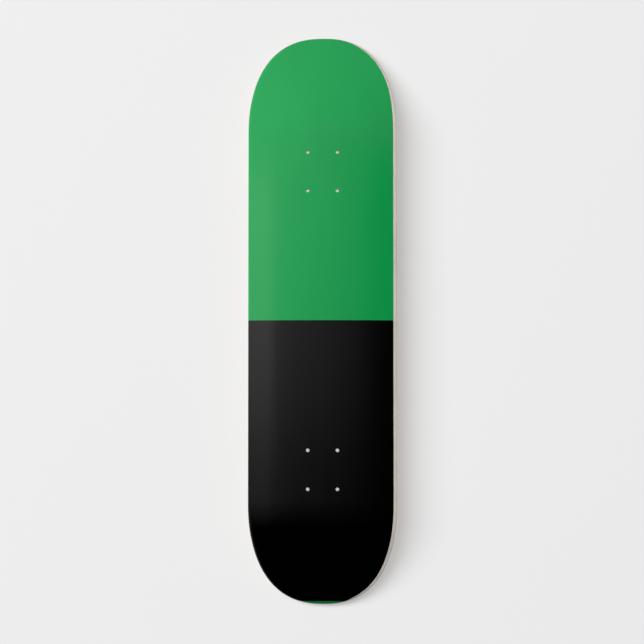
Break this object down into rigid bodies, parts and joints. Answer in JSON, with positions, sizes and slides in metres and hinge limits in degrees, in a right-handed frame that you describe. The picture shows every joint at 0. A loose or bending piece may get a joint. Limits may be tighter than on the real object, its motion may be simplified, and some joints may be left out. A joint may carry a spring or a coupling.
{
  "type": "skateboard deck",
  "caption": "Bare skateboard deck of pressed maple plies with upturned nose and tail, a green and black printed underside and open truck bolt holes.",
  "frame": {"origin": "middle of the nose truck's four bolt holes, on the printed face", "axes": "the deck hangs upright: +Z along the deck towards the nose, -Y out of the printed underside, +Y out of the standing face towards the wall, X across the deck"},
  "size_m": [0.2086, 0.0551, 0.802],
  "materials": {
    "bottom_face_maple": "clear lacquered maple",
    "core_maple": "sanded and sealed maple edge",
    "cross_maple": "sanded and sealed maple end grain",
    "top_face_maple": "clear lacquered maple",
    "green_film": "gloss lacquered print",
    "black_film": "gloss lacquered print"
  },
  "bodies": {
    "root": {"bottom_face_ply": "bottom_face_maple", "lower_core_ply": "core_maple", "lower_cross_ply": "cross_maple", "centre_core_ply": "core_maple", "upper_cross_ply": "cross_maple", "upper_core_ply": "core_maple", "top_face_ply": "top_face_maple", "green_print": "green_film", "black_print": "black_film", "tail_band_print": "green_film"}
  },
  "joints": []
}
